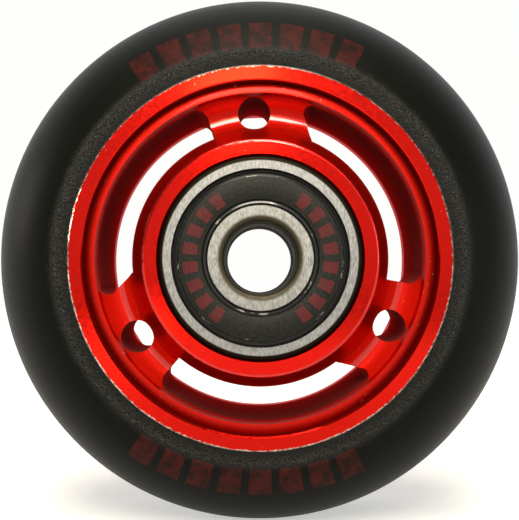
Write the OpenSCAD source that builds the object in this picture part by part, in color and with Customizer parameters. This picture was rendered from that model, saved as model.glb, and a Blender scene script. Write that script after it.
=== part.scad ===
// Aggressive inline skate wheel. A cast urethane tyre grips a machined three-spoke core,
// and the core runs on two sealed ball bearings with a spacer between their inner races.
// The wheel's centre is the origin. It spins about the Y axis, with its front at -Y and +Z up.
// Sections are drawn as radius against height along the axle, the front upwards.

/* [Tyre] */
// Outside diameter of the tyre
wheel_d = 60; // [58:0.5:68]
// Width of the tyre from lip to lip
tyre_w = 22.4; // [21.5:0.1:22.8]
// Radial width of the flat lip beside the core
lip_w = 1.5; // [1:0.1:2.5]

/* [Core rim] */
// Outside diameter of the core, under the tyre
core_d = 41.7; // [41:0.1:43]
// Width of the core across its rim faces
rim_w = 23; // [22.9:0.1:23.6]
// Radial width of the rim face, with both of its chamfers
rim_face_w = 1.65; // [1.2:0.05:1.8]
// Chamfer on the outer edge of the rim
rim_chamfer = 0.2; // [0.1:0.05:0.3]
// Chamfer on the inner edge of the rim face
rim_inner_chamfer = 0.15; // [0.05:0.05:0.2]
// Diameter at the bottom of the groove inside the rim face
groove_d = 37.9; // [37.5:0.1:38.2]
// Distance between the bottoms of the front and rear rim grooves
groove_apart = 18.7; // [17.5:0.1:20]
// Width of the core across the ridges inside the rim grooves
ridge_w = 20.8; // [20.2:0.1:21.6]
// Radial width of the flat crest of a ridge
ridge_land = 0.1; // [0.05:0.05:0.2]
// Number of rings of the tyre that lock into the core's barrel
lock_n = 3; // [2:1:4]
// Width of one locking ring
lock_w = 2.4; // [1.5:0.1:3]
// Radial depth of one locking ring
lock_depth = 0.7; // [0.4:0.1:1]
// Distance from one locking ring to the next
lock_pitch = 5; // [4:0.5:5.5]

/* [Core web] */
// Number of spokes, each with one round hole
spoke_n = 3; // [3:1:4]
// Angle of the first spoke, from +X towards +Z
spoke_angle = 92.4; // [0:0.1:120]
// Diameter of the circle in the middle of the slots
slot_circle_d = 32; // [31.8:0.1:32.2]
// Width of a slot
slot_w = 3.8; // [3:0.1:3.8]
// Share of the angle between two spokes over which a slot has its full width
slot_share = 0.596; // [0.3:0.001:0.6]
// Angle by which a slot lies off the middle between its spokes
slot_offset_angle = 1.75; // [0:0.05:3]
// Radius of the drilled outer corner at the radial end of a slot
radial_corner_r = 1.3; // [0.8:0.05:1.5]
// Radius of the drilled outer corner at the slanted end of a slot
slanted_corner_r = 0.8; // [0.6:0.05:1]
// Angle between the slanted end of a slot and the spoke beside it
slant_angle = 12.8; // [8:0.1:18]
// Distance by which the drilled corners of a slot stand out beyond its walls
slot_end_relief = 0.05; // [0.03:0.01:0.08]
// Diameter of the round hole in a spoke
hole_d = 3.6; // [2:0.1:3.8]
// Distance of the hole in a spoke from the trough's outer wall
hole_land = 0.05; // [0.05:0.05:0.3]
// Thickness of the web at the bottom of its troughs
web_t = 13.2; // [10:0.1:14.5]
// Radius of a trough's round floor
trough_r = 2.2; // [2.1:0.05:2.6]
// Angle over which the trough floor rises towards the hub
trough_rise = 38; // [30:1:45]
// Ledge between a slot and the trough's outer wall
slot_land = 0.1; // [0.05:0.05:0.15]

/* [Core hub] */
// Outside diameter of the hub at its face
hub_d = 25.7; // [25:0.1:26.5]
// Distance of the hub face below the bearing face
hub_recess = 0.1; // [0:0.05:0.5]
// Radius of the rounded outer edge of the hub
hub_edge_r = 0.35; // [0.1:0.05:0.5]
// Chamfer at the mouth of a bearing seat
seat_chamfer = 0.2; // [0.1:0.05:0.4]
// Radial height of the shoulder against which a bearing is pushed
seat_shoulder = 1.6; // [1.4:0.1:2.5]

/* [Bearing] */
// Outside diameter of a bearing
bearing_od = 22; // [21.5:0.1:22.2]
// Bore of a bearing, which takes the axle
bearing_bore = 8; // [7:0.1:8.2]
// Width of a bearing
bearing_w = 7; // [6.8:0.1:7.4]
// Radius of the corners of both races
race_corner_r = 0.5; // [0.2:0.05:0.6]
// Diameter of a ball
ball_d = 3.969; // [3.8:0.001:4]
// Number of balls in a bearing
ball_n = 7; // [7]
// Radial play between a ball and either raceway
ball_play = 0.04; // [0.03:0.01:0.08]
// Radius of a raceway for each millimetre of ball diameter
raceway_fit = 0.53; // [0.52:0.005:0.54]
// Height of a raceway's shoulder beside the ball
race_shoulder = 0.53; // [0.4:0.01:0.6]

/* [Seals] */
// Depth of the seal recess, from the bearing face to the race shoulder
seal_recess = 1; // [0.98:0.01:1.05]
// Depth of the seal face below the bearing face
seal_face_depth = 0.3; // [0.2:0.05:0.35]
// Height of the seal face above the sunk borders of the seal
seal_rise = 0.3; // [0.2:0.05:0.3]
// Height of the seal's recess in the outer race above the shoulder
seal_seat = 0.67; // [0.6:0.01:0.7]
// Depth of the notch for the seal lip in the inner race
lip_notch = 0.41; // [0.35:0.01:0.45]
// Radial depth of the groove into which a seal snaps
snap_depth = 0.27; // [0.15:0.01:0.3]
// Gap around the snapped edge of a seal
snap_gap = 0.05; // [0.02:0.01:0.06]
// Gap between the seal lip and the inner race
lip_gap = 0.11; // [0.08:0.01:0.15]
// Radial width of the sunk border at the lip
lip_border = 0.6; // [0.5:0.05:0.7]
// Draft of the steps between the seal face and its borders
seal_draft = 0.1; // [0.05:0.01:0.12]
// Thickness of the steel plate in the back of a seal
plate_t = 0.25; // [0.15:0.05:0.25]

/* [Cage and spacer] */
// Radial width of the cage
cage_w = 1.9; // [1.4:0.1:2.2]
// Play between a ball and its pocket in the cage
pocket_play = 0.08; // [0.05:0.01:0.15]
// Thickness of the cage's back behind a ball
cage_back = 0.34; // [0.25:0.01:0.38]
// Distance by which the cage's claws reach past the middle of the balls
claw_reach = 0.9; // [0.6:0.05:1.2]
// Width of the gap between the claws of neighbouring pockets
claw_gap = 1; // [0.6:0.1:1.4]
// Length of the spacer, which is the distance between the bearings
spacer_l = 10; // [9.8:0.1:10.3]
// Outside diameter of the spacer
spacer_od = 10.6; // [10:0.1:11]
// Play between the axle and the spacer's bore, on the radius
spacer_play = 0.05; // [0.02:0.01:0.1]

/* [Hidden] */
$fn = 96;

wheel_r = wheel_d / 2;
core_r = core_d / 2;
lip_r = core_r + lip_w;
lock_r = core_r - lock_depth;

// The tread is one arc, through the crown and the outer edges of both lips.
tread_x = (pow(wheel_r, 2) - pow(lip_r, 2) - pow(tyre_w / 2, 2)) / (2 * (wheel_r - lip_r));
tread_r = wheel_r - tread_x;

bearing_r = bearing_od / 2;
bore_r = bearing_bore / 2;
bearing_z = (spacer_l + bearing_w) / 2;
race_z = bearing_w / 2;
wheel_z = spacer_l / 2 + bearing_w;

hub_r = hub_d / 2;
hub_z = wheel_z - hub_recess;
land_r = bearing_r - seat_shoulder;
rim_z = rim_w / 2;
rim_inner_r = core_r - rim_face_w;
slot_circle_r = slot_circle_d / 2;
slot_span = slot_share * 360 / spoke_n;
slot_from = (360 / spoke_n - slot_span) / 2 - slot_offset_angle;
slot_inner_r = slot_circle_r - slot_w / 2;
slot_outer_r = slot_circle_r + slot_w / 2;
wall_r = slot_outer_r + slot_land;
hole_circle_r = wall_r - hole_land - hole_d / 2;

// The radial end of a slot lies before its drilled corner.
radial_corner_at = slot_outer_r + slot_end_relief - radial_corner_r;
radial_end_turn = asin((radial_corner_r - slot_end_relief) / radial_corner_at);

// The slanted end of a slot, in the frame of the spoke that follows it: the wall runs from its foot
// along its way, and the centre of the drilled corner stands beside the wall.
slant_foot_turn = slot_from + 2 * slot_offset_angle;
slant_foot = (slot_inner_r + 0.15) * [cos(slant_foot_turn), -sin(slant_foot_turn)];
slant_way = [cos(slant_angle), sin(slant_angle)];
slant_side = (slanted_corner_r - slot_end_relief) * [sin(slant_angle), -cos(slant_angle)];
slanted_corner_at = slot_outer_r + slot_end_relief - slanted_corner_r;
slant_l = sqrt(pow((slant_foot + slant_side) * slant_way, 2)
    - pow(norm(slant_foot + slant_side), 2) + pow(slanted_corner_at, 2))
    - (slant_foot + slant_side) * slant_way;
slant_corner = slant_foot + slant_side + slant_l * slant_way;
slant_corner_turn = atan2(-slant_corner.y, slant_corner.x);
trough_z = web_t / 2 + trough_r;
trough_centre = [slot_circle_r, trough_z];
trough_foot = trough_centre + trough_r * [-sin(trough_rise), -cos(trough_rise)];
wall_drop = sqrt(trough_r * trough_r - pow(wall_r - slot_circle_r, 2));
wall_foot = [wall_r, trough_z - wall_drop];
hub_edge = [hub_r, hub_z - hub_edge_r];
hub_edge_centre = [hub_r - hub_edge_r, hub_z - hub_edge_r];
flank_way = (trough_foot - hub_edge) / norm(trough_foot - hub_edge);
floor_cut = 0.3;
flank_end = trough_foot - floor_cut * flank_way;
wall_end = wall_foot + [0, floor_cut];

ball_r = ball_d / 2;
ball_circle_r = (bearing_r + bore_r) / 2;
raceway_r = raceway_fit * ball_d;
raceway_shift = raceway_r - ball_r - ball_play;
outer_shoulder_r = ball_circle_r + ball_r - race_shoulder;
inner_shoulder_r = ball_circle_r - ball_r + race_shoulder;
seal_land_r = outer_shoulder_r + seal_seat;
snap_r = seal_land_r + snap_depth;
notch_r = inner_shoulder_r - lip_notch;
border_z = race_z - seal_face_depth - seal_rise;
seal_back_z = race_z - seal_recess + snap_gap;
lip_r_inner = notch_r + lip_gap;
face_r_inner = lip_r_inner + lip_border;
face_r_outer = outer_shoulder_r - seal_draft;

// An outline drawn for the front half, closed by its mirror image for the rear half
function both_halves(points) = concat(
    points,
    [for (i = [len(points) - 1 : -1 : 0]) [points[i].x, -points[i].y]]
);

function at_end(point, end) = [point.x, end * point.y];

// The slice of a circle from its centre out to the arc from p to q
module pie_slice(centre, r, p, q) {
    intersection() {
        translate(centre) circle(r);
        polygon([centre, 2 * p - centre, 2 * q - centre]);
    }
}

module lock_rings() {
    for (i = [0 : lock_n - 1])
        translate([lock_r, (i - (lock_n - 1) / 2) * lock_pitch - lock_w / 2])
            square([2 * lock_depth, lock_w]);
}

// Lays a piece that was turned about Z along the axle, with its top towards the front
module on_axle() {
    rotate([90, 0, 0]) children();
}

// Puts a bearing piece at the front (1) or at the rear (-1), turned the other way round
module in_bearing(end) {
    on_axle()
        translate([0, 0, end * bearing_z])
            mirror([0, 0, end < 0 ? 1 : 0])
                children();
}

module tyre_section() {
    difference() {
        intersection() {
            translate([tread_x, 0]) circle(tread_r);
            translate([lock_r, -tyre_w / 2]) square([wheel_r, tyre_w]);
        }
        difference() {
            translate([0, -rim_z]) square([core_r, rim_w]);
            lock_rings();
        }
    }
}

module tyre() {
    color("#1c1f19") on_axle() rotate_extrude() tyre_section();
}

// The round floor of a trough, between the hub's flank and the trough's outer wall
module trough_floor() {
    intersection() {
        translate(trough_centre) circle(trough_r);
        polygon([flank_end, wall_end, wall_end - [0, trough_r], flank_end + trough_r * flank_way]);
    }
}

module core_section() {
    difference() {
        union() {
            polygon(both_halves([
                [core_r, rim_z - rim_chamfer],
                [core_r - rim_chamfer, rim_z],
                [rim_inner_r + rim_inner_chamfer, rim_z],
                [rim_inner_r, rim_z - rim_inner_chamfer],
                [groove_d / 2, groove_apart / 2],
                [wall_r + ridge_land, ridge_w / 2],
                [wall_r, ridge_w / 2],
                wall_end,
                flank_end,
                hub_edge,
                [hub_r - hub_edge_r, hub_z],
                [bearing_r + seat_chamfer, hub_z],
                [bearing_r, hub_z - seat_chamfer],
                [bearing_r, spacer_l / 2],
                [land_r, spacer_l / 2],
            ]));
            for (end = [1, -1])
                pie_slice(at_end(hub_edge_centre, end), hub_edge_r,
                    at_end([hub_edge_centre.x, hub_z], end), at_end(hub_edge, end));
        }
        trough_floor();
        mirror([0, 1]) trough_floor();
        lock_rings();
    }
}

module through_hole(r, d) {
    translate([r, 0, 0]) cylinder(d = d, h = rim_w, center = true);
}

// A ring sector through the web, from one angle to another
module web_sector(inner_r, outer_r, from, to) {
    rotate(from)
        rotate_extrude(angle = to - from)
            translate([inner_r, -rim_z])
                square([outer_r - inner_r, rim_w]);
}

// A slot curved around the axle, from the spoke at angle 0 to the next one. The end near angle 0 is
// radial, the other one slants, and each has a drilled outer corner.
module arc_slot() {
    web_sector(slot_circle_r - 0.2, slot_outer_r, slot_from, 360 / spoke_n - slant_corner_turn - 0.5);
    web_sector(slot_inner_r, radial_corner_at, slot_from - radial_end_turn, slot_from + slot_span);
    rotate(slot_from) through_hole(radial_corner_at, 2 * radial_corner_r);
    rotate(360 / spoke_n) {
        rotate(-slant_corner_turn) through_hole(slanted_corner_at, 2 * slanted_corner_r);
        translate([0, 0, -rim_z])
            linear_extrude(rim_w)
                polygon([
                    slant_foot - 0.1 * slant_way,
                    slant_foot + slant_l * slant_way,
                    slant_corner,
                    slanted_corner_at * [cos(slant_foot_turn + 2), -sin(slant_foot_turn + 2)],
                ]);
    }
}

module core() {
    color("#dc140a") on_axle() rotate(spoke_angle) difference() {
        rotate_extrude() core_section();
        for (i = [0 : spoke_n - 1])
            rotate(i * 360 / spoke_n) {
                through_hole(hole_circle_r, hole_d);
                arc_slot();
            }
    }
}

module spacer() {
    color("#b4b7ba") on_axle() difference() {
        cylinder(d = spacer_od, h = spacer_l, center = true);
        cylinder(r = bore_r + spacer_play, h = 2 * spacer_l, center = true);
    }
}

module raceway(r) {
    translate([r, 0]) circle(raceway_r);
}

// A race's section, from its outside inwards over the front, with one corner rounded on each face
module rounded_race(outline, from, to, centre) {
    union() {
        polygon(both_halves(outline));
        for (end = [1, -1])
            pie_slice(at_end(centre, end), race_corner_r, at_end(from, end), at_end(to, end));
    }
}

module outer_race_section() {
    side_edge = [bearing_r, race_z - race_corner_r];
    face_edge = [bearing_r - race_corner_r, race_z];
    difference() {
        rounded_race([
            side_edge,
            face_edge,
            [seal_land_r, race_z],
            [seal_land_r, border_z + snap_gap],
            [snap_r, border_z + snap_gap],
            [snap_r, race_z - seal_recess],
            [outer_shoulder_r, race_z - seal_recess],
        ], side_edge, face_edge, [face_edge.x, side_edge.y]);
        raceway(ball_circle_r - raceway_shift);
    }
}

module outer_race(end) {
    color("#cfccc0") in_bearing(end) rotate_extrude() outer_race_section();
}

module inner_race_section() {
    face_edge = [bore_r + race_corner_r, race_z];
    bore_edge = [bore_r, race_z - race_corner_r];
    difference() {
        rounded_race([
            [inner_shoulder_r, seal_back_z - lip_gap],
            [notch_r, seal_back_z - lip_gap],
            [notch_r, race_z],
            face_edge,
            bore_edge,
        ], face_edge, bore_edge, [face_edge.x, bore_edge.y]);
        raceway(ball_circle_r + raceway_shift);
    }
}

module inner_race(end) {
    color("#b9b5a6") in_bearing(end) rotate_extrude() inner_race_section();
}

module plate_section() {
    translate([face_r_inner, seal_back_z])
        square([face_r_outer - face_r_inner, plate_t]);
}

module seal_section() {
    difference() {
        polygon([
            [lip_r_inner, seal_back_z],
            [lip_r_inner, border_z - seal_draft],
            [lip_r_inner + lip_border / 2, border_z],
            [face_r_inner - seal_draft, border_z],
            [face_r_inner, race_z - seal_face_depth],
            [face_r_outer, race_z - seal_face_depth],
            [face_r_outer + seal_draft, border_z],
            [snap_r - snap_gap, border_z],
            [snap_r - snap_gap, seal_back_z],
        ]);
        plate_section();
    }
}

// Turns a seal piece into a bearing's outboard (1) or inboard (-1) side
module in_seal(end, side) {
    in_bearing(end) mirror([0, 0, side < 0 ? 1 : 0]) rotate_extrude() children();
}

module seal(end, side) {
    color("#2c2a26") in_seal(end, side) seal_section();
}

module seal_plate(end, side) {
    color("#8a8d90") in_seal(end, side) plate_section();
}

module at_ball(i) {
    rotate(90 + (i - 1) * 360 / ball_n) translate([ball_circle_r, 0, 0]) children();
}

module ball(end, i) {
    color("#c8ccd0") in_bearing(end) at_ball(i) sphere(ball_r);
}

// A crown cage: a ring behind the balls, with two claws around each ball
module cage(end) {
    pocket_r = ball_r + pocket_play;
    back_z = -pocket_r - cage_back;
    color("#e9e4d4") in_bearing(end) difference() {
        rotate_extrude()
            translate([ball_circle_r - cage_w / 2, back_z])
                square([cage_w, claw_reach - back_z]);
        for (i = [1 : ball_n]) {
            at_ball(i) sphere(pocket_r);
            at_ball(i + 0.5) {
                rotate([0, 90, 0]) cylinder(d = claw_gap, h = 2 * cage_w, center = true);
                translate([-cage_w, -claw_gap / 2, 0]) cube([2 * cage_w, claw_gap, 2 * claw_reach]);
            }
        }
    }
}

tyre();
core();
spacer();
for (place = [["front", 1], ["rear", -1]]) {
    name = place[0];
    end = place[1];
    outer_race(end);
    inner_race(end);
    cage(end);
    seal(end, 1);
    seal(end, -1);
    seal_plate(end, 1);
    seal_plate(end, -1);
    for (i = [1 : ball_n])
        ball(end, i);
}
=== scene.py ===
# %% [markdown]
# # Dressing an aggressive inline skate wheel
# The wheel is a black urethane tyre cast around a red anodised aluminium core, with a sealed ball
# bearing pressed into each side and a spacer tube between them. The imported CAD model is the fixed
# frame: every piece below is measured from it, rides on one of its bodies, and stays inside its box.
# Blender works in metres, but a wheel is drawn in millimetres, so one value turns one into the other.

# %% Load the frame
import math

import bpy
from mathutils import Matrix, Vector


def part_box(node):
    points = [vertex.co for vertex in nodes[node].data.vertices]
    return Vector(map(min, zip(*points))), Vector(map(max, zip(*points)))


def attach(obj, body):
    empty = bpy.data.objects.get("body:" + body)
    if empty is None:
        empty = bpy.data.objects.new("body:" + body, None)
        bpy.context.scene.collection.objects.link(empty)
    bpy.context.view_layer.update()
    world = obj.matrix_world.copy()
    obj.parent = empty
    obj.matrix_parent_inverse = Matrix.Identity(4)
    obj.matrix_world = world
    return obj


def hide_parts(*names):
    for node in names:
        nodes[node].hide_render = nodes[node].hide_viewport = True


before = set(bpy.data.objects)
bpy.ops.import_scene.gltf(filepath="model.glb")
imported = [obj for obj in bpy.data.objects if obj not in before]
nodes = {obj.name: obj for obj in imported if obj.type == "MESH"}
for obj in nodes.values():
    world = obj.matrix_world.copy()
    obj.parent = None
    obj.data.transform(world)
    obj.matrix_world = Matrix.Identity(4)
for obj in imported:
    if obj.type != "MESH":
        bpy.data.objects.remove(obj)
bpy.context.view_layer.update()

MM = 0.001

# %% [markdown]
# ## Selection and main sizes
# An operator acts on all that is selected, and the CAD nodes come in selected. Every new piece
# therefore starts with nothing selected. The sizes of the tyre and the core are read from the frame,
# so that whatever is made here fits them.

# %% A clean selection and the main sizes


def select_only(*objects):
    bpy.ops.object.select_all(action="DESELECT")
    for o in objects:
        o.select_set(True)
        bpy.context.view_layer.objects.active = o


def radius_of(node):
    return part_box(node)[1].x / MM


TYRE_R = radius_of("tyre")
CORE_R = radius_of("core")
TYRE_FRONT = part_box("tyre")[0].y / MM
print("tyre radius", round(TYRE_R, 2), "core radius", round(CORE_R, 2), "tyre front", round(TYRE_FRONT, 2))

# %% [markdown]
# ## Camera
# The picture looks straight down the axle from close by: the bore's far end and the slots' outer
# walls show, so the lens stands about 14 cm from the wheel. A long lens from further off would hide
# those walls. Nothing but the place, the aim and the focal length is needed.

# %% Place the camera
# the first two in pixels, the others in mm
IMAGE_SIDE = 520
FOCUS_PX = 1178
SENSOR = 36
NEAREST = 5
LENS_AT = (-1.0, -138, -1.9)
LOOKS_AT = (-0.04, -1, -0.08)
camera = bpy.data.objects.new("camera", bpy.data.cameras.new("camera"))
bpy.context.scene.collection.objects.link(camera)
camera.data.sensor_width = SENSOR
camera.data.lens = FOCUS_PX * SENSOR / IMAGE_SIDE
camera.data.clip_start = NEAREST * MM
camera.location = Vector(LENS_AT) * MM
aim = Vector(LOOKS_AT) * MM
camera.rotation_euler = (aim - camera.location).to_track_quat("-Z", "Y").to_euler()
bpy.context.scene.camera = camera
bpy.context.scene.view_settings.view_transform = "Standard"
print("lens", round(camera.data.lens, 1), "mm")

# %% [markdown]
# ## Node helper
# One small function adds a node: the dictionary sets or links its sockets, and the keywords set its
# own properties. Colours are written as the sRGB hex values that a paint program shows, and one
# function turns them into the linear values that the renderer multiplies.

# %% Colours and nodes


def linear(hex_colour):
    channels = [int(hex_colour[i:i + 2], 16) / 255 for i in (1, 3, 5)]
    return [c / 12.92 if c <= 0.04045 else ((c + 0.055) / 1.055) ** 2.4 for c in channels] + [1]


def put(tree, kind, inputs=None, **settings):
    node = tree.nodes.new(kind)
    for name, value in settings.items():
        setattr(node, name, value)
    for name, value in (inputs or {}).items():
        if isinstance(value, bpy.types.NodeSocket):
            tree.links.new(value, node.inputs[name])
        else:
            node.inputs[name].default_value = value
    return node


print("the grey #808080 is", round(linear("#808080")[0], 3), "in linear light")

# %% [markdown]
# ## Floor
# The wheel stands on white paper. The paper glows for the camera and in reflections, so that it reads
# as white and the metal shows it, but less around the wheel, where it has to keep the shadow. In front
# of the wheel the paper carries a painted shade, which only reflections show.

# %% White paper floor
FLOOR_SIDE = 6
# two distances from the wheel in metres, and the paper's glow at each
NEAR, FAR = 0.1, 0.5
NEAR_GLOW, FAR_GLOW = 0.5, 0.97
# how far in front of the wheel the painted shade in the paper's reflection reaches this share
FRONT, FRONT_SHADE = -0.03, 0.6
select_only()
bpy.ops.mesh.primitive_plane_add(size=FLOOR_SIDE, location=(0, 0, -TYRE_R * MM))
floor = bpy.context.object
floor.name = "floor"
paper = bpy.data.materials.new("white_paper_sweep")
paper.use_nodes = True
tree = paper.node_tree
tree.nodes.clear()
path = put(tree, "ShaderNodeLightPath")
seen = put(tree, "ShaderNodeMath", {0: path.outputs["Is Camera Ray"], 1: path.outputs["Is Glossy Ray"]},
           operation="MAXIMUM")
ground = put(tree, "ShaderNodeTexCoord").outputs["Object"]
away = put(tree, "ShaderNodeVectorMath", {0: ground}, operation="LENGTH")
far_glow = put(tree, "ShaderNodeMapRange", {"Value": away.outputs["Value"], "From Min": NEAR, "From Max": FAR,
                                            "To Min": NEAR_GLOW, "To Max": FAR_GLOW})
seen_glow = put(tree, "ShaderNodeMath", {0: seen.outputs[0], 1: far_glow.outputs[0]}, operation="MULTIPLY")
diffuse = put(tree, "ShaderNodeBsdfDiffuse", {"Color": linear("#E6E6E4")})
glow = put(tree, "ShaderNodeEmission", {"Color": linear("#FFFFFD"), "Strength": seen_glow.outputs[0]})
lit = put(tree, "ShaderNodeAddShader", {0: diffuse.outputs[0], 1: glow.outputs[0]})
spot = put(tree, "ShaderNodeSeparateXYZ", {0: ground})
# painted shade: in front of the wheel the paper is darker to glossy rays
in_front = put(tree, "ShaderNodeMapRange", {"Value": spot.outputs["Y"], "From Min": 0, "From Max": FRONT,
                                            "To Max": FRONT_SHADE})
front_shade_in_reflection = put(tree, "ShaderNodeMath", {0: in_front.outputs[0], 1: path.outputs["Is Glossy Ray"]},
             operation="MULTIPLY")
sweep = put(tree, "ShaderNodeMixShader", {0: front_shade_in_reflection.outputs[0], 1: lit.outputs[0]})
put(tree, "ShaderNodeOutputMaterial", {"Surface": sweep.outputs[0]})
floor.data.materials.append(paper)
print("floor at", -TYRE_R, "mm")

# %% [markdown]
# ## World
# The world is white to the camera. A light tent is not evenly bright: the room behind the lens is
# darker than the tent, and metal shows that. So glossy rays see white behind the wheel, a dim room at
# the sides and a pale patch straight in front. It gives little light of its own, which leaves the
# shaping of the wheel to the lamps.

# %% Light tent
# from straight in front (0) over the sides (0.5) to straight behind (1), and the brightness there
ROOM = [
    (0.0, 0.66), (0.03, 0.63), (0.12, 0.1), (0.2, 0.04),
    (0.5, 0.14), (0.61, 0.75), (0.78, 1.3), (1.0, 1.3),
]
AMBIENT = 0.12
world = bpy.data.worlds.new("light_tent")
bpy.context.scene.world = world
world.use_nodes = True
tree = world.node_tree
tree.nodes.clear()
path = put(tree, "ShaderNodeLightPath")
way = put(tree, "ShaderNodeTexCoord")
along = put(tree, "ShaderNodeSeparateXYZ", {0: way.outputs["Generated"]})
behind = put(tree, "ShaderNodeMapRange", {"Value": along.outputs["Y"], "From Min": -1})
room = put(tree, "ShaderNodeValToRGB", {"Fac": behind.outputs[0]})
for position, _ in ROOM[1:-1]:
    room.color_ramp.elements.new(position)
for stop, (position, brightness) in zip(room.color_ramp.elements, ROOM):
    stop.position = position
    stop.color = (brightness, brightness, brightness, 1)
seen = put(tree, "ShaderNodeBackground", {"Color": linear("#FEFEFC"), "Strength": 1})
mirrored = put(tree, "ShaderNodeBackground", {"Color": room.outputs[0], "Strength": 1})
ambient = put(tree, "ShaderNodeBackground", {"Color": linear("#FFFDF8"), "Strength": AMBIENT})
shiny = put(tree, "ShaderNodeMath", {0: path.outputs["Is Glossy Ray"],
                                     1: path.outputs["Is Transmission Ray"]}, operation="MAXIMUM")
inside = put(tree, "ShaderNodeMixShader", {0: shiny.outputs[0], 1: ambient.outputs[0],
                                           2: mirrored.outputs[0]})
outside = put(tree, "ShaderNodeMixShader", {0: path.outputs["Is Camera Ray"], 1: inside.outputs[0],
                                            2: seen.outputs[0]})
put(tree, "ShaderNodeOutputWorld", {"Surface": outside.outputs[0]})
print(world.name, "with", len(ROOM), "steps of brightness")

# %% [markdown]
# ## Lamps
# The key light is a tall strip above the lens, which puts one white streak on the turned hollow, and a
# wide soft box over it lights the upper half. Two small warm cards give the red rim its orange glints.
# Weaker boxes at the left, at the right and overhead lift the tyre's shoulder off the black. Each
# lamp is given by its radiance, the brightness that a mirror shows, so its size can change alone.

# %% Soft boxes and cards
# name, place in mm, width and height in mm, radiance, colour
SOFT_BOXES = [
    ("key_strip", (-12, -397, 211), (140, 190), 15, "#FFF6E6"),
    ("upper_box", (-12, -225, 390), (300, 310), 8, "#FFF6E6"),
    ("warm_card", (-9, -438, 103), (40, 75), 9, "#FFD894"),
    ("low_card", (-36, -248, -20), (13, 10), 8, "#FFD894"),
    ("left_box", (-440, 60, 110), (120, 120), 10, "#FFF6E6"),
    ("right_box", (400, -260, 60), (150, 150), 4, "#FFFDFA"),
    ("top_box", (-20, 100, 480), (300, 300), 0.6, "#FFFDFA"),
]
for name, place, size, radiance, tint in SOFT_BOXES:
    lamp = bpy.data.lights.new(name, "AREA")
    lamp.shape = "RECTANGLE"
    lamp.size, lamp.size_y = size[0] * MM, size[1] * MM
    lamp.energy = radiance * math.pi * lamp.size * lamp.size_y
    lamp.color = linear(tint)[:3]
    box = bpy.data.objects.new(name, lamp)
    bpy.context.scene.collection.objects.link(box)
    box.location = Vector(place) * MM
    box.rotation_euler = (-box.location).to_track_quat("-Z", "Y").to_euler()
print(len(SOFT_BOXES), "lamps")

# %% [markdown]
# ## Round coordinates
# Everything here was turned, cast or ground about the axle. So the patterns are drawn by radius and
# angle, worked out from Object coordinates, which stay with a piece when the wheel turns.

# %% Start a material with round coordinates


def start(name, **values):
    material = bpy.data.materials.new(name)
    material.use_nodes = True
    tree = material.node_tree
    shader = tree.nodes["Principled BSDF"]
    for socket, value in values.items():
        shader.inputs[socket.replace("_", " ")].default_value = value
    place = put(tree, "ShaderNodeTexCoord").outputs["Object"]
    across = put(tree, "ShaderNodeVectorMath", {0: place, 1: (1 / MM, 0, 1 / MM)}, operation="MULTIPLY")
    radius = put(tree, "ShaderNodeVectorMath", {0: across.outputs[0]}, operation="LENGTH").outputs["Value"]
    parts = put(tree, "ShaderNodeSeparateXYZ", {0: across.outputs[0]})
    angle = put(tree, "ShaderNodeMath", {0: parts.outputs["Z"], 1: parts.outputs["X"]}, operation="ARCTAN2")
    return material, tree, shader, place, radius, angle.outputs[0]


def link(tree, output, shader, name):
    tree.links.new(output, shader.inputs[name])


print("round coordinates: radius in mm, angle in radians")

# %% [markdown]
# ## Cast urethane
# The tyre is black polyurethane, poured into a mould around the core. Its shoulder is smooth and
# satin, so it is nearly black where it faces the lens and pale where it turns away. The lip beside
# the core was trimmed with a cutter, which left a torn, greyer band with a speckled fringe. A fine
# noise draws its specks, and also shifts the radius at which the band ends, so that the end is ragged.

# %% Cast urethane: moulded body and trimmed lip
LIP_R = CORE_R + 1.5
# how far the noise shifts the radius at most, and where the shifted radius leaves the lip
FRINGE = 3.2
FRINGE_START, FRINGE_END = 1.9, 2.4
urethane, tree, shader, place, radius, angle = start(
    "cast_black_urethane", IOR=1.5, Specular_IOR_Level=0.07, Coat_Roughness=0.3)
cloud = put(tree, "ShaderNodeTexNoise", {"Vector": place, "Scale": 1 / (9 * MM), "Detail": 3})
body = put(tree, "ShaderNodeMix", {0: cloud.outputs["Fac"], 6: linear("#080907"), 7: linear("#0E100C")},
           data_type="RGBA")
# the torn grain is finer than this on a real lip, but then it would vanish between the pixels
grit = put(tree, "ShaderNodeTexNoise", {"Vector": place, "Scale": 1 / (0.17 * MM), "Detail": 3,
                                        "Roughness": 0.65})
speck = put(tree, "ShaderNodeMapRange", {"Value": grit.outputs["Fac"], "From Min": 0.46, "From Max": 0.72})
fringe = put(tree, "ShaderNodeMath", {0: grit.outputs["Fac"], 1: FRINGE, 2: radius}, operation="MULTIPLY_ADD")
lip = put(tree, "ShaderNodeMapRange", {"Value": fringe.outputs[0], "From Min": LIP_R + FRINGE_START,
                                       "From Max": LIP_R + FRINGE_END, "To Min": 1, "To Max": 0})
outward = put(tree, "ShaderNodeMapRange", {"Value": radius, "From Min": CORE_R + 0.3, "From Max": LIP_R - 0.2,
                                           "To Min": 0.2, "To Max": 1})
shine = put(tree, "ShaderNodeMath", {0: speck.outputs[0], 1: outward.outputs[0]}, operation="MULTIPLY")
lip_tint = put(tree, "ShaderNodeMix", {0: shine.outputs[0], 6: linear("#0B0D09"), 7: linear("#24231E")},
               data_type="RGBA")
rubber = put(tree, "ShaderNodeMix", {0: lip.outputs[0], 6: body.outputs[2], 7: lip_tint.outputs[2]},
             data_type="RGBA")
print("the trimmed lip ends at radius", round(LIP_R, 2))

# %% [markdown]
# ## Printed blocks on the tyre
# The shoulder carries a printed ring, here of plain blocks above and below, in a thin and faded red
# ink that skips over the texture. The ink is a product of masks: an arc, a ring, a row of blocks
# with ragged edges, and a patchy fade.

# %% Cast urethane: printed blocks
PRINT_R, PRINT_HALF = 24.3, 1.55
PRINT_RAGGED = 0.5
BLOCKS_PER_TURN = 46
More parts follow.
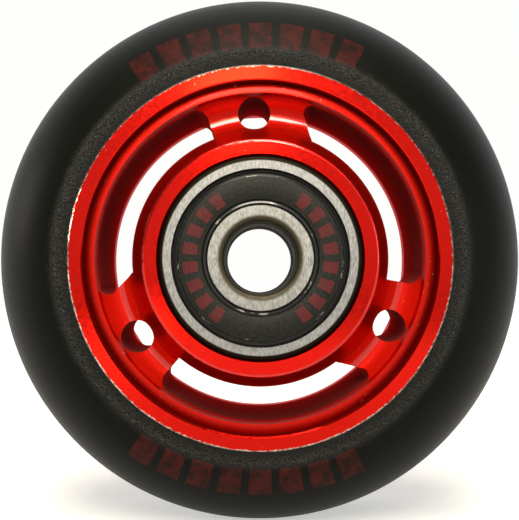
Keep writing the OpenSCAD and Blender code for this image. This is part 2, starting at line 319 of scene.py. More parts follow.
# middle and half length of a printed arc, counted in blocks from the right-hand side
ARC_MIDDLE, ARC_HALF = 12, 4
lean = put(tree, "ShaderNodeMath", {0: angle}, operation="ABSOLUTE")
arc = put(tree, "ShaderNodeMath", {0: lean.outputs[0], 1: ARC_MIDDLE * math.tau / BLOCKS_PER_TURN,
                                   2: ARC_HALF * math.tau / BLOCKS_PER_TURN}, operation="COMPARE")
ragged = put(tree, "ShaderNodeTexNoise", {"Vector": place, "Scale": 1 / (0.5 * MM), "Detail": 3})
print_r = put(tree, "ShaderNodeMath", {0: ragged.outputs["Fac"], 1: PRINT_RAGGED, 2: radius},
              operation="MULTIPLY_ADD")
ring = put(tree, "ShaderNodeMath", {0: print_r.outputs[0], 1: PRINT_R + PRINT_RAGGED / 2, 2: PRINT_HALF},
           operation="COMPARE")
turn_share = put(tree, "ShaderNodeMath", {0: angle, 1: BLOCKS_PER_TURN / math.tau}, operation="MULTIPLY")
beat = put(tree, "ShaderNodeMath", {0: turn_share.outputs[0], 1: 0.5}, operation="PINGPONG")
soft_beat = put(tree, "ShaderNodeMath", {0: ragged.outputs["Fac"], 1: 0.12, 2: beat.outputs[0]},
                operation="MULTIPLY_ADD")
block = put(tree, "ShaderNodeMapRange", {"Value": soft_beat.outputs[0], "From Min": 0.17, "From Max": 0.22})
fade = put(tree, "ShaderNodeTexNoise", {"Vector": place, "Scale": 1 / (1.6 * MM), "Detail": 5,
                                        "Roughness": 0.7})
ink = put(tree, "ShaderNodeMapRange", {"Value": fade.outputs["Fac"], "From Min": 0.38, "From Max": 0.62,
                                       "To Min": 0.15, "To Max": 0.75})
for part in (arc, ring, block):
    ink = put(tree, "ShaderNodeMath", {0: ink.outputs[0], 1: part.outputs[0]}, operation="MULTIPLY")
printed = put(tree, "ShaderNodeMix", {0: ink.outputs[0], 6: rubber.outputs[2], 7: linear("#451510")},
              data_type="RGBA")
link(tree, printed.outputs[2], shader, "Base Color")
print("two arcs of", 2 * ARC_HALF, "blocks at radius", PRINT_R)

# %% [markdown]
# ## Gloss of the tyre
# The shoulder's satin varies a little, as the mould did. The small torn facets of the lip shine, which
# a rough clear coat over the lip alone gives. The shoulder has a faint skin like orange peel, and the
# lip a coarse grain.

# %% Cast urethane: satin and torn facets
gloss = put(tree, "ShaderNodeMapRange", {"Value": cloud.outputs["Fac"], "To Min": 0.4, "To Max": 0.5})
link(tree, gloss.outputs[0], shader, "Roughness")
facet = put(tree, "ShaderNodeMapRange", {"Value": shine.outputs[0], "To Min": 0.16, "To Max": 1})
facets = put(tree, "ShaderNodeMath", {0: lip.outputs[0], 1: facet.outputs[0]}, operation="MULTIPLY")
link(tree, facets.outputs[0], shader, "Coat Weight")
peel = put(tree, "ShaderNodeTexNoise", {"Vector": place, "Scale": 1 / (0.4 * MM), "Detail": 3})
peel_bump = put(tree, "ShaderNodeBump", {"Height": peel.outputs["Fac"], "Strength": 0.12,
                                         "Distance": 0.05 * MM})
grit_bump = put(tree, "ShaderNodeBump", {"Height": grit.outputs["Fac"], "Strength": lip.outputs[0],
                                         "Distance": 0.12 * MM, "Normal": peel_bump.outputs[0]})
link(tree, grit_bump.outputs[0], shader, "Normal")
link(tree, grit_bump.outputs[0], shader, "Coat Normal")
print("made", urethane.name)

# %% [markdown]
# ## Anodised aluminium
# The core was turned and milled from aluminium, then dyed red in an anodising bath. The dye lies in
# a clear oxide skin over the metal, so the broad reflections are red. How a face was cut decides how
# it shines: the turned flats are like mirrors, the hollow web and the band inside the rim are etched
# and matt, and the milled walls of the slots and holes are matt and painted darker as shade. One
# material can hold them all, with masks by radius and by the way a face looks.

# %% Red anodised aluminium: where each cut lies
# the middle and the half width of each zone, in mm from the axle
ZONES = {
    "hub_edge": (12.7, 0.2),
    "slot_walls": (15.45, 2.52),
    "hollow": (15.44, 2.57),
    "trough": (15.3, 0.85),
    "band": (18.6, 0.62),
}
# painted shade darkens the band outwards into the groove, and the hub's outer wall gives way to the hollow
GROOVE_START, GROOVE_END = 18.25, 19.1
HUB_WALL_START, HUB_WALL_END = 13.6, 14.4
# a wall's normal has less than this along the axle
WALL_LEAN = 0.25
anodised, tree, shader, place, radius, _ = start(
    "red_anodised_turned_aluminium", Coat_IOR=2.05, Coat_Roughness=0.08, Anisotropic=0.25,
    Anisotropic_Rotation=0.25, Specular_Tint=linear("#E03020"))
zone = {}
for name, (middle, half) in ZONES.items():
    zone[name] = put(tree, "ShaderNodeMath", {0: radius, 1: middle, 2: half}, operation="COMPARE").outputs[0]
facing = put(tree, "ShaderNodeSeparateXYZ", {0: put(tree, "ShaderNodeTexCoord").outputs["Normal"]})
wall = put(tree, "ShaderNodeMath", {0: facing.outputs["Y"], 1: 0, 2: WALL_LEAN},
           operation="COMPARE").outputs[0]
# the milled walls are rougher, and their darker colour is painted shade
milled_shaded = put(tree, "ShaderNodeMath", {0: wall, 1: zone["slot_walls"]}, operation="MULTIPLY").outputs[0]
level = put(tree, "ShaderNodeMath", {0: zone["hollow"], 1: wall}, operation="SUBTRACT",
            use_clamp=True).outputs[0]
etched = put(tree, "ShaderNodeMath", {0: level, 1: zone["band"]}, operation="MAXIMUM").outputs[0]
matt = put(tree, "ShaderNodeMath", {0: zone["hollow"], 1: zone["band"]}, operation="MAXIMUM").outputs[0]
groove = put(tree, "ShaderNodeMapRange", {"Value": radius, "From Min": GROOVE_START, "From Max": GROOVE_END})
groove_painted_shade = put(tree, "ShaderNodeMath", {0: groove.outputs[0], 1: zone["band"]},
                operation="MULTIPLY").outputs[0]
print("zones of the core:", list(zone))

# %% [markdown]
# ## Dye, wear and painted shade
# The dye is never quite even, and it looks duller on etched metal. The groove and the milled walls are
# darker: painted shade. The rim's sharp outer edge has lost its skin in places and shows bare metal,
# and so do a few small chips. The colours are laid over each other in that order.

# %% Red anodised aluminium: dye, painted shade, rubbed edge and chips
RUB_START, RUB_END = CORE_R - 0.5, CORE_R - 0.1
RUB_LIMIT = 0.35
tone = put(tree, "ShaderNodeTexNoise", {"Vector": place, "Scale": 1 / (0.6 * MM), "Detail": 4,
                                        "Roughness": 0.6})
dye = put(tree, "ShaderNodeMix", {0: tone.outputs["Fac"], 6: linear("#EC180B"), 7: linear("#FC1D0E")},
          data_type="RGBA")
nick = put(tree, "ShaderNodeTexNoise", {"Vector": place, "Scale": 1 / (0.4 * MM), "Detail": 4,
                                        "Roughness": 0.7})
rim_edge = put(tree, "ShaderNodeMapRange", {"Value": radius, "From Min": RUB_START, "From Max": RUB_END})
worn = put(tree, "ShaderNodeMath", {0: nick.outputs["Fac"], 1: rim_edge.outputs[0], 2: -RUB_LIMIT},
           operation="MULTIPLY_ADD")
rubbed = put(tree, "ShaderNodeMapRange", {"Value": worn.outputs[0], "From Min": 0, "From Max": 0.1})
chip = put(tree, "ShaderNodeTexNoise", {"Vector": place, "Scale": 1 / (0.35 * MM), "Detail": 2,
                                        "Roughness": 0.6})
chips = put(tree, "ShaderNodeMapRange", {"Value": chip.outputs["Fac"], "From Min": 0.72, "From Max": 0.78,
                                         "To Max": 0.5})
bare = put(tree, "ShaderNodeMath", {0: rubbed.outputs[0], 1: chips.outputs[0]},
           operation="MAXIMUM").outputs[0]
# etched tone, painted shade in the groove, bare metal, and painted shade on the milled walls
for mask, tint in ((etched, "#C6180B"), (groove_painted_shade, "#700C06"), (bare, "#FFEDE0"), (milled_shaded, "#8E3833")):
    dye = put(tree, "ShaderNodeMix", {0: mask, 6: dye.outputs[2], 7: linear(tint)}, data_type="RGBA")
link(tree, dye.outputs[2], shader, "Base Color")
print("the rim is rubbed from radius", round(RUB_START, 2), "to", round(RUB_END, 2))

# %% [markdown]
# ## Shine of the core
# Etching leaves a surface that scatters light, between metal and paint, so there Metallic drops. The
# hub's outer wall stays nearly all metal, and is dark. The smooth oxide skin shows its own white glints
# in the trough of the web and on the hub's edge: a clear coat in those zones alone, and a trace of it
# elsewhere. What varies over the surface goes through masks, and the rest is set on the shader.

# %% Red anodised aluminium: metal, roughness and coat
ETCHED_METAL = 0.4
HUB_WALL_ETCH = 0.2
BAND_LOSS = 0.2
MATT_ROUGH = 0.36
EDGE_ROUGHER, MILLED_ROUGHER = 0.2, 0.28
BRIGHT_COAT, TRACE_COAT = 0.52, 0.05
off_hub = put(tree, "ShaderNodeMapRange", {"Value": radius, "From Min": HUB_WALL_START,
                                           "From Max": HUB_WALL_END, "To Min": HUB_WALL_ETCH})
blasted = put(tree, "ShaderNodeMath", {0: level, 1: off_hub.outputs[0]}, operation="MULTIPLY")
metal = put(tree, "ShaderNodeMapRange", {"Value": blasted.outputs[0], "To Min": 1, "To Max": ETCHED_METAL})
clouded = put(tree, "ShaderNodeMath", {0: zone["band"], 1: -BAND_LOSS, 2: metal.outputs[0]},
              operation="MULTIPLY_ADD")
link(tree, clouded.outputs[0], shader, "Metallic")
mottled = put(tree, "ShaderNodeMapRange", {"Value": tone.outputs["Fac"], "From Min": 0.3, "From Max": 0.7,
                                           "To Min": 0.07, "To Max": 0.16})
faced = put(tree, "ShaderNodeMix", {0: matt, 2: mottled.outputs[0], 3: MATT_ROUGH})
rounded = put(tree, "ShaderNodeMath", {0: zone["hub_edge"], 1: EDGE_ROUGHER, 2: faced.outputs[0]},
              operation="MULTIPLY_ADD")
rough = put(tree, "ShaderNodeMath", {0: milled_shaded, 1: MILLED_ROUGHER, 2: rounded.outputs[0]},
            operation="MULTIPLY_ADD")
link(tree, rough.outputs[0], shader, "Roughness")
bright = put(tree, "ShaderNodeMath", {0: zone["trough"], 1: zone["hub_edge"]}, operation="MAXIMUM")
smooth = put(tree, "ShaderNodeMath", {0: bright.outputs[0], 1: milled_shaded}, operation="SUBTRACT", use_clamp=True)
polished = put(tree, "ShaderNodeMath", {0: smooth.outputs[0], 1: BRIGHT_COAT}, operation="MULTIPLY")
trace = put(tree, "ShaderNodeMapRange", {"Value": wall, "To Min": TRACE_COAT, "To Max": 0})
oxide = put(tree, "ShaderNodeMath", {0: polished.outputs[0], 1: trace.outputs[0]}, operation="MAXIMUM")
link(tree, oxide.outputs[0], shader, "Coat Weight")
print("roughness of a matt cut:", MATT_ROUGH)

# %% [markdown]
# ## Turning marks
# The marks of the lathe run around the axle, so a reflection is drawn out across them: anisotropy,
# with a tangent that runs around the axle. Fine rings and pits break up what is left.

# %% Red anodised aluminium: turning marks
# the lathe's rings are finer than this, and are drawn as coarse as they need to show
TURNING_MM = 0.3
around = put(tree, "ShaderNodeTangent", direction_type="RADIAL", axis="Y")
link(tree, around.outputs[0], shader, "Tangent")
ring_noise = put(tree, "ShaderNodeTexNoise", {"W": radius, "Scale": 1 / TURNING_MM, "Detail": 2},
                 noise_dimensions="1D")
marks = put(tree, "ShaderNodeBump", {"Height": ring_noise.outputs["Fac"], "Strength": 0.12,
                                     "Distance": 0.02 * MM})
pits = put(tree, "ShaderNodeBump", {"Height": nick.outputs["Fac"], "Strength": 0.2, "Distance": 0.012 * MM,
                                    "Normal": marks.outputs[0]})
link(tree, pits.outputs[0], shader, "Normal")
print("made", anodised.name)

# %% [markdown]
# ## Bearing steel
# The races are hardened chrome steel with ground faces. The grinding wheel leaves short scratches
# across them, so the grey is broken into pale and dark dashes. The corner against the core is painted
# nearly black and the bore a dull olive brown, both painted shade.

# %% Ground bearing steel
# finish, tint, length of a scratch in mm, slant of the scratches in degrees
RACES = [
    ("ground_outer_race_steel", "#A6A8A8", 0.55, 35),
    ("ground_inner_race_steel", "#ABADAA", 0.45, 20),
]
# real scratches are finer, and would vanish between the pixels
SCRATCH_W = 0.16
SCRATCH_SHADE = 0.55
CORNER_START, CORNER_END = 10.42, 10.55
BORE_START, BORE_END = 4.75, 4.45
SHADED_ROUGHER = 0.2
race_steels = {}
for name, tint, scratch_l, slant in RACES:
    steel, tree, shader, place, radius, _ = start(name, Metallic=1, Specular_Tint=linear("#8C877C"))
    slanted = put(tree, "ShaderNodeMapping", {"Vector": place, "Rotation": (0, math.radians(slant), 0),
                                              "Scale": (scratch_l / SCRATCH_W, 1, 1)})
    streak = put(tree, "ShaderNodeTexNoise", {"Vector": slanted.outputs[0], "Scale": 1 / (scratch_l * MM),
                                              "Detail": 3, "Roughness": 0.6})
    strong = put(tree, "ShaderNodeMapRange", {"Value": streak.outputs["Fac"], "From Min": 0.36,
                                              "From Max": 0.64})
    pale = linear(tint)
    dark = [SCRATCH_SHADE * c for c in pale[:3]] + [1]
    shade = put(tree, "ShaderNodeMix", {0: strong.outputs[0], 6: dark, 7: pale}, data_type="RGBA")
    # painted shade: nearly black in the corner against the core, dull olive brown in the bore
    corner = put(tree, "ShaderNodeMapRange", {"Value": radius, "From Min": CORNER_START,
                                              "From Max": CORNER_END})
    bore = put(tree, "ShaderNodeMapRange", {"Value": radius, "From Min": BORE_START, "From Max": BORE_END})
    shaded_zones = put(tree, "ShaderNodeMath", {0: corner.outputs[0], 1: bore.outputs[0]}, operation="MAXIMUM")
    shade_tint = put(tree, "ShaderNodeMix", {0: corner.outputs[0], 6: linear("#504B3C"), 7: linear("#241F18")},
                data_type="RGBA")
    shade_painted = put(tree, "ShaderNodeMix", {0: shaded_zones.outputs[0], 6: shade.outputs[2], 7: shade_tint.outputs[2]},
                  data_type="RGBA")
    link(tree, shade_painted.outputs[2], shader, "Base Color")
    rough = put(tree, "ShaderNodeMapRange", {"Value": strong.outputs[0], "To Min": 0.34, "To Max": 0.46})
    dull = put(tree, "ShaderNodeMath", {0: shaded_zones.outputs[0], 1: SHADED_ROUGHER, 2: rough.outputs[0]},
               operation="MULTIPLY_ADD")
    link(tree, dull.outputs[0], shader, "Roughness")
    scratch = put(tree, "ShaderNodeBump", {"Height": streak.outputs["Fac"], "Strength": 0.3,
                                           "Distance": 0.03 * MM})
    link(tree, scratch.outputs[0], shader, "Normal")
    race_steels[name] = steel
print("made", list(race_steels))

# %% [markdown]
# ## Moulded rubber
# The seals are nitrile rubber moulded over a steel plate, black with a little green in it and with
# a fine grain from the mould on their flat face. The edges of that face shine, which a clear coat on
# the edges gives, and in places they carry pale painted highlights.

# %% Moulded nitrile rubber: grain, glossy edges and painted highlights
SEAL_FACE_R, SEAL_FACE_HALF = 7.6, 1.3
GLOSSY_EDGE_R, GLOSSY_EDGE_HALF = (6.03, 8.9), 0.09
nitrile, tree, shader, place, radius, angle = start(
    "moulded_nitrile_rubber", IOR=1.52, Specular_IOR_Level=0.2, Roughness=0.42, Coat_Roughness=0.12)
# the mould's grain is finer than this, and is drawn as coarse as it needs to show
grain = put(tree, "ShaderNodeTexNoise", {"Vector": place, "Scale": 1 / (0.3 * MM), "Detail": 4,
                                         "Roughness": 0.7})
pore = put(tree, "ShaderNodeMapRange", {"Value": grain.outputs["Fac"], "From Min": 0.38, "From Max": 0.66})
face = put(tree, "ShaderNodeMath", {0: radius, 1: SEAL_FACE_R, 2: SEAL_FACE_HALF}, operation="COMPARE")
raised = put(tree, "ShaderNodeMath", {0: pore.outputs[0], 1: face.outputs[0]}, operation="MULTIPLY")
black = put(tree, "ShaderNodeMix", {0: raised.outputs[0], 6: linear("#060705"), 7: linear("#20231C")},
            data_type="RGBA")
highlight_noise = put(tree, "ShaderNodeTexNoise", {"Vector": place, "Scale": 1 / (1.5 * MM), "Detail": 4,
                                       "Roughness": 0.75})
highlight_breaks = put(tree, "ShaderNodeMapRange", {"Value": highlight_noise.outputs["Fac"], "From Min": 0.58, "From Max": 0.66})
edges = [put(tree, "ShaderNodeMath", {0: radius, 1: r, 2: GLOSSY_EDGE_HALF}, operation="COMPARE")
         for r in GLOSSY_EDGE_R]
edge = put(tree, "ShaderNodeMath", {0: edges[0].outputs[0], 1: edges[1].outputs[0]}, operation="MAXIMUM")
link(tree, edge.outputs[0], shader, "Coat Weight")
# pale painted highlights, broken by noise, on both edges of the face
painted_glint = put(tree, "ShaderNodeMath", {0: highlight_breaks.outputs[0], 1: edge.outputs[0]}, operation="MULTIPLY")
black = put(tree, "ShaderNodeMix", {0: painted_glint.outputs[0], 6: black.outputs[2], 7: linear("#B4B2A6")},
            data_type="RGBA")
pores = put(tree, "ShaderNodeBump", {"Height": grain.outputs["Fac"], "Strength": 0.5, "Distance": 0.08 * MM})
link(tree, pores.outputs[0], shader, "Normal")
print("scuffed edges at radius", GLOSSY_EDGE_R)

# %% [markdown]
# ## Printed dashes on the seal
# The seal's face carries a print at the left and at the right, here plain red dashes. They are made as the
# blocks on the tyre are, by masks, and the mould's grain breaks their edges.

# %% Moulded nitrile rubber: printed dashes
DASH_R, DASH_HALF = 7.6, 0.8
DASH_RAGGED = 0.3
DASHES_PER_TURN = 24
SIDE_REACH = math.radians(60)
turned = put(tree, "ShaderNodeMath", {0: angle}, operation="ABSOLUTE")
lean = put(tree, "ShaderNodeMath", {0: turned.outputs[0], 1: math.pi / 2}, operation="PINGPONG")
side = put(tree, "ShaderNodeMath", {0: lean.outputs[0], 1: SIDE_REACH}, operation="LESS_THAN")
dash_r = put(tree, "ShaderNodeMath", {0: grain.outputs["Fac"], 1: DASH_RAGGED, 2: radius},
             operation="MULTIPLY_ADD")
ring = put(tree, "ShaderNodeMath", {0: dash_r.outputs[0], 1: DASH_R + DASH_RAGGED / 2, 2: DASH_HALF},
           operation="COMPARE")
turn_share = put(tree, "ShaderNodeMath", {0: angle, 1: DASHES_PER_TURN / math.tau}, operation="MULTIPLY")
beat = put(tree, "ShaderNodeMath", {0: turn_share.outputs[0], 1: 0.5}, operation="PINGPONG")
soft_beat = put(tree, "ShaderNodeMath", {0: grain.outputs["Fac"], 1: 0.1, 2: beat.outputs[0]},
                operation="MULTIPLY_ADD")
dash = put(tree, "ShaderNodeMapRange", {"Value": soft_beat.outputs[0], "From Min": 0.23, "From Max": 0.27})
ink = put(tree, "ShaderNodeMapRange", {"Value": grain.outputs["Fac"], "From Min": 0.3, "From Max": 0.6,
                                       "To Min": 0.4, "To Max": 0.9})
for part in (side, ring, dash):
    ink = put(tree, "ShaderNodeMath", {0: ink.outputs[0], 1: part.outputs[0]}, operation="MULTIPLY")
printed = put(tree, "ShaderNodeMix", {0: ink.outputs[0], 6: black.outputs[2], 7: linear("#58181A")},
              data_type="RGBA")
link(tree, printed.outputs[2], shader, "Base Color")
print("made", nitrile.name)

# %% [markdown]
# ## Inner finishes
# Inside the bearings are polished balls in a pale nylon cage, and pressed steel plates in the seals.
# The spacer is plain turned aluminium, and its bore is painted dull and dark as shade, as the races' bores
# are.
# They differ only in a few values, so one loop makes them all.

# %% Inner finishes
# finish, tint, metallic, lowest and highest roughness, grain in mm
INNER_FINISHES = [
    ("polished_ball_steel", "#C9CCD0", 1, 0.06, 0.12, 0.8),
    ("pressed_plate_steel", "#8C8F92", 1, 0.3, 0.42, 0.4),
    ("turned_spacer_aluminium", "#B6B9BC", 1, 0.25, 0.38, 0.3),
    ("moulded_cage_nylon", "#E7E1CF", 0, 0.4, 0.55, 0.6),
]
MOTTLE_SHADE = 0.85
SPACER_BORE_R = 4.3
BORE_ROUGHER = 0.4
inner = {}
for name, tint, metallic, rough_low, rough_high, grain_mm in INNER_FINISHES:
    finish, tree, shader, place, radius, _ = start(
        name, Metallic=metallic, Specular_IOR_Level=0.25, Specular_Tint=linear("#8C877C"))
    mottle = put(tree, "ShaderNodeTexNoise", {"Vector": place, "Scale": 1 / (grain_mm * MM), "Detail": 3})
    pale = linear(tint)
    dark = [MOTTLE_SHADE * c for c in pale[:3]] + [1]
    shade = put(tree, "ShaderNodeMix", {0: mottle.outputs["Fac"], 6: dark, 7: pale}, data_type="RGBA")
    # painted shade in the spacer's bore: dark olive brown, rougher and not metallic
    bore = put(tree, "ShaderNodeMath", {0: radius, 1: SPACER_BORE_R}, operation="LESS_THAN")
    shade_painted = put(tree, "ShaderNodeMix", {0: bore.outputs[0], 6: shade.outputs[2], 7: linear("#3C3928")},
                  data_type="RGBA")
    link(tree, shade_painted.outputs[2], shader, "Base Color")
    rough = put(tree, "ShaderNodeMapRange", {"Value": mottle.outputs["Fac"], "To Min": rough_low,
                                             "To Max": rough_high})
    dull = put(tree, "ShaderNodeMath", {0: bore.outputs[0], 1: BORE_ROUGHER, 2: rough.outputs[0]},
               operation="MULTIPLY_ADD")
    link(tree, dull.outputs[0], shader, "Roughness")
    clean = put(tree, "ShaderNodeMapRange", {"Value": bore.outputs[0], "To Min": metallic, "To Max": 0})
    link(tree, clean.outputs[0], shader, "Metallic")
    inner[name] = finish
print("made", list(inner))

# %% [markdown]
# ## Turning a section
# A lathe, a mould and a grinding wheel all make round pieces, so each new piece starts as its section:
# one vertex is extruded from corner to corner, the loop is closed, and a Screw modifier without any
# rise sweeps it once around the axle. It does the same as spin, but stays quick with many steps. The
# first and last rows fall together, so doubles are merged and the normals recalculated.

# %% Turn a section about the axle
DOUBLES = 0.002
SMOOTH_ANGLE = math.radians(40)


def turn_section(name, corners, steps):
    select_only()
    bpy.ops.mesh.primitive_plane_add(size=1)
    piece = bpy.context.object
    piece.name = piece.data.name = name
    bpy.ops.object.mode_set(mode="EDIT")
    bpy.ops.mesh.merge(type="CENTER")
    points = [Vector((r, y, 0)) * MM for r, y in corners]
    bpy.ops.transform.translate(value=points[0])
    for here, there in zip(points, points[1:]):
        bpy.ops.mesh.extrude_region_move(TRANSFORM_OT_translate={"value": there - here})
    bpy.ops.mesh.select_all(action="SELECT")
    bpy.ops.object.mode_set(mode="OBJECT")
    ends = (0, len(points) - 1)
    for v in piece.data.vertices:
        v.select = v.index in ends
    for e in piece.data.edges:
        e.select = False
    bpy.ops.object.mode_set(mode="EDIT")
    bpy.ops.mesh.edge_face_add()
    bpy.ops.object.mode_set(mode="OBJECT")
    bpy.ops.object.modifier_add(type="SCREW")
    sweep = piece.modifiers[-1]
    sweep.axis = "Y"
    sweep.steps = sweep.render_steps = steps
    bpy.ops.object.modifier_apply(modifier=sweep.name)
    bpy.ops.object.mode_set(mode="EDIT")
    bpy.ops.mesh.select_all(action="SELECT")
    bpy.ops.mesh.remove_doubles(threshold=DOUBLES * MM)
    bpy.ops.mesh.normals_make_consistent(inside=False)
    bpy.ops.object.mode_set(mode="OBJECT")
    return piece


print("sections are turned about the Y axis")

# %% [markdown]
# ## Tyre
# The CAD tyre has the right section, but a smooth lip. On the real one the lip beside the core was cut
# with a blade after casting, which left it nearly level. So the section gets closely spaced rows
# across the lip, to be roughened later. From the lip one round sweep goes over the tread to the other
# side, and inside, three rings lock into the core's grooves.

# %% Turn the cast tyre
TYRE_STEPS = 900
LIP_FALL = 0.03
LIP_ROWS = 11
TREAD_ROWS = 46
LOCK_R = CORE_R - 0.7
LOCK_W, LOCK_PITCH = 2.4, 5.0
tread_x = (TYRE_R**2 - LIP_R**2 - TYRE_FRONT**2) / (2 * (TYRE_R - LIP_R))
tread_r = TYRE_R - tread_x
start_angle = math.atan2(-TYRE_FRONT, LIP_R - tread_x)
lip_row = [(CORE_R + (LIP_R - CORE_R) * i / LIP_ROWS, TYRE_FRONT + LIP_FALL * i / LIP_ROWS)
           for i in range(LIP_ROWS)]
tread = [(tread_x + tread_r * math.cos(t), -tread_r * math.sin(t))
         for t in (start_angle * (1 - 2 * i / TREAD_ROWS) for i in range(TREAD_ROWS + 1))]
inside_row = []
for i in (1, 0, -1):
    for y, r in ((1, CORE_R), (1, LOCK_R), (-1, LOCK_R), (-1, CORE_R)):
        inside_row.append((r, i * LOCK_PITCH + y * LOCK_W / 2))
tyre_section = lip_row + tread + [(r, -y) for r, y in reversed(lip_row)] + inside_row
tyre_piece = turn_section("cast_tyre", tyre_section, TYRE_STEPS)
print(tyre_piece.name, len(tyre_section), "corners, tread radius", round(tread_r, 2))

# %% [markdown]
# ## Torn lip
# The blade tore the lip as it cut, so its surface is grainy and ends in a ragged rim. A Displace
# modifier roughens the rows of the lip alone, which a vertex group picks out. The row against the
# core stays where it is, so that no gap opens there.

# %% Roughen the lip
# the radii between which the rows are torn, and how far below the tyre's front they may lie
FIRST_ROW, LAST_ROW = CORE_R + 0.1, LIP_R + 0.12
LIP_DEPTH = LIP_FALL + 0.02
TEAR_MM, TEAR_HEIGHT = 0.28, 0.13
lip_group = tyre_piece.vertex_groups.new(name="trimmed_lip")
rough_rows = [v.index for v in tyre_piece.data.vertices
              if abs(v.co.y) > (-TYRE_FRONT - LIP_DEPTH) * MM
              and FIRST_ROW * MM < math.hypot(v.co.x, v.co.z) < LAST_ROW * MM]
lip_group.add(rough_rows, 1, "REPLACE")
torn = bpy.data.textures.new("torn_lip", "CLOUDS")
torn.noise_scale = TEAR_MM * MM
torn.noise_depth = 2
select_only(tyre_piece)
bpy.ops.object.modifier_add(type="DISPLACE")
tear = tyre_piece.modifiers[-1]
tear.texture = torn
tear.texture_coords = "LOCAL"
tear.vertex_group = lip_group.name
tear.strength = TEAR_HEIGHT * MM
bpy.ops.object.modifier_apply(modifier=tear.name)
bpy.ops.object.shade_smooth_by_angle(angle=SMOOTH_ANGLE)
tyre_piece.data.materials.append(urethane)
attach(tyre_piece, "wheel")
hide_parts("tyre")
print(tyre_piece.name, len(tyre_piece.data.polygons), "faces,", len(rough_rows), "roughened points")

# %% [markdown]
# ## Copying a piece to the rear
# Both sides of the wheel are alike, so a rear piece is a copy of the front one, turned half round. The
# points are turned in edit mode, so the object itself stays unturned.

# %% Copy a front piece to the rear
HALF_TURN = math.pi


def rear_copy(front_piece, name):
    select_only(front_piece)
    bpy.ops.object.duplicate(linked=False)
    piece = bpy.context.object
    piece.name = piece.data.name = name
    bpy.ops.object.mode_set(mode="EDIT")
    bpy.ops.mesh.select_all(action="SELECT")
    bpy.ops.transform.rotate(value=HALF_TURN, orient_axis="Z", center_override=(0, 0, 0))
    bpy.ops.object.mode_set(mode="OBJECT")
    return piece


print("a rear piece is turned by", round(math.degrees(HALF_TURN)), "degrees")

# %% [markdown]
# ## Ridge beside the rim
# Inside the rim face the core has a low ridge. On the real core it is a broad, gently rounded band, while
# the CAD ridge is narrow, with a deeper groove beside it. So a band is turned over it on each side, and
# sunk a little into the core at both of its edges. Its section is an arc with its peak near the inner edge.

# %% Rounded ridge, front and rear
RIDGE_IN, RIDGE_PEAK_R, RIDGE_OUT = 17.99, 18.02, 19.09
RIDGE_FOOT, RIDGE_PEAK = -9.9, -10.42
RIDGE_ROUND = 2.6
RIDGE_ROWS = 10
SMALL_STEPS = 300
crest = []
for i in range(RIDGE_ROWS + 1):
    r = RIDGE_IN + (RIDGE_OUT - RIDGE_IN) * i / RIDGE_ROWS
    crest.append((r, RIDGE_PEAK + RIDGE_ROUND - math.sqrt(RIDGE_ROUND**2 - (r - RIDGE_PEAK_R)**2)))
ridge_section = crest + [(RIDGE_OUT, RIDGE_FOOT), (RIDGE_IN, RIDGE_FOOT)]
front_ridge = turn_section("front_core_ridge", ridge_section, SMALL_STEPS)
bpy.ops.object.shade_smooth_by_angle(angle=SMOOTH_ANGLE)
front_ridge.data.materials.append(anodised)
for piece in (front_ridge, rear_copy(front_ridge, "rear_core_ridge")):
    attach(piece, "wheel")
    print(piece.name, len(piece.data.polygons), "faces")

# %% [markdown]
# ## Seals
# An outboard seal is a ring of rubber moulded over a steel plate. Its flat face stands a little above
# a border on each side: the outer border snaps into the outer race and carries a fine rib, the inner
# one ends in the lip that wipes the inner race. The edges of a moulding are never sharp, so a Bevel
# modifier rounds them, and they catch the thin broken lines of light that a bearing shows.

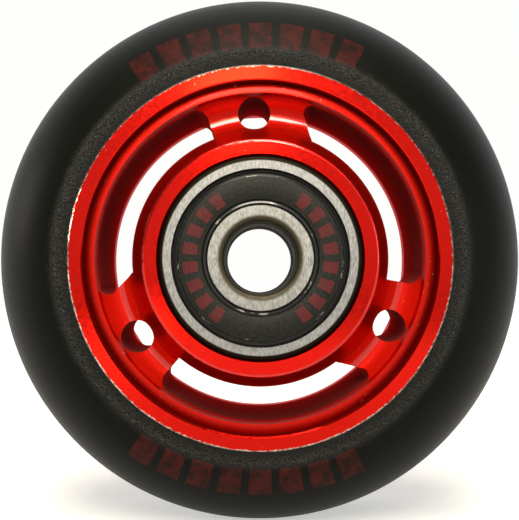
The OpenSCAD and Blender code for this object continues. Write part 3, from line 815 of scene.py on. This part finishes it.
# %% Moulded seals, front and rear
front_low, front_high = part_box("front_outboard_seal")
SEAL_OUT = front_high.x / MM
SEAL_BACK, SEAL_FACE = front_high.y / MM, front_low.y / MM
SEAL_IN = 5.75
FACE_OUT = 8.85
PLATE_IN, PLATE_T = 6.35, 0.25
BORDER = SEAL_FACE + 0.3
RIB_IN, RIB_OUT, RIB_TOP = 9.2, 9.45, BORDER - 0.1
SEAL_ROUND = 0.03
seal_section = [
    # the wiping lip and the inner border
    (SEAL_IN, SEAL_BACK), (SEAL_IN, BORDER + 0.1), (SEAL_IN + 0.1, BORDER - 0.07),
    (SEAL_IN + 0.2, BORDER - 0.07), (SEAL_IN + 0.36, BORDER), (SEAL_IN + 0.5, BORDER),
    # the flat face
    (SEAL_IN + 0.6, SEAL_FACE), (FACE_OUT, SEAL_FACE),
    # the outer border with its rib
    (FACE_OUT + 0.1, BORDER), (RIB_IN, BORDER), (RIB_IN + 0.05, RIB_TOP), (RIB_OUT - 0.05, RIB_TOP),
    (RIB_OUT, BORDER), (SEAL_OUT, BORDER),
    # the back, with the recess for the plate
    (SEAL_OUT, SEAL_BACK), (FACE_OUT, SEAL_BACK), (FACE_OUT, SEAL_BACK - PLATE_T),
    (PLATE_IN, SEAL_BACK - PLATE_T), (PLATE_IN, SEAL_BACK),
]
front_seal = turn_section("front_moulded_seal", seal_section, SMALL_STEPS)
bpy.ops.object.modifier_add(type="BEVEL")
rounding = front_seal.modifiers[-1]
rounding.width = SEAL_ROUND * MM
rounding.segments = 2
rounding.angle_limit = math.radians(30)
bpy.ops.object.modifier_apply(modifier=rounding.name)
bpy.ops.object.shade_smooth_by_angle(angle=SMOOTH_ANGLE)
front_seal.data.materials.append(nitrile)
for piece, end in ((front_seal, "front"), (rear_copy(front_seal, "rear_moulded_seal"), "rear")):
    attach(piece, "wheel")
    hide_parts(end + "_outboard_seal")
    print(piece.name, len(piece.data.polygons), "faces")

# %% [markdown]
# ## Dressing the CAD nodes
# A node whose shape is right keeps its mesh and only gets its finish. The first part whose name is
# found in the node's name decides, so seal_plate stands before seal.

# %% Give each node its finish
FINISHES = [
    ("tyre", urethane),
    ("core", anodised),
    ("spacer", inner["turned_spacer_aluminium"]),
    ("outer_race", race_steels["ground_outer_race_steel"]),
    ("inner_race", race_steels["ground_inner_race_steel"]),
    ("seal_plate", inner["pressed_plate_steel"]),
    ("seal", nitrile),
    ("cage", inner["moulded_cage_nylon"]),
    ("ball", inner["polished_ball_steel"]),
]
for name, node in nodes.items():
    finish = next(material for part, material in FINISHES if part in name)
    node.data.materials.clear()
    node.data.materials.append(finish)
print("dressed", len(nodes), "nodes")
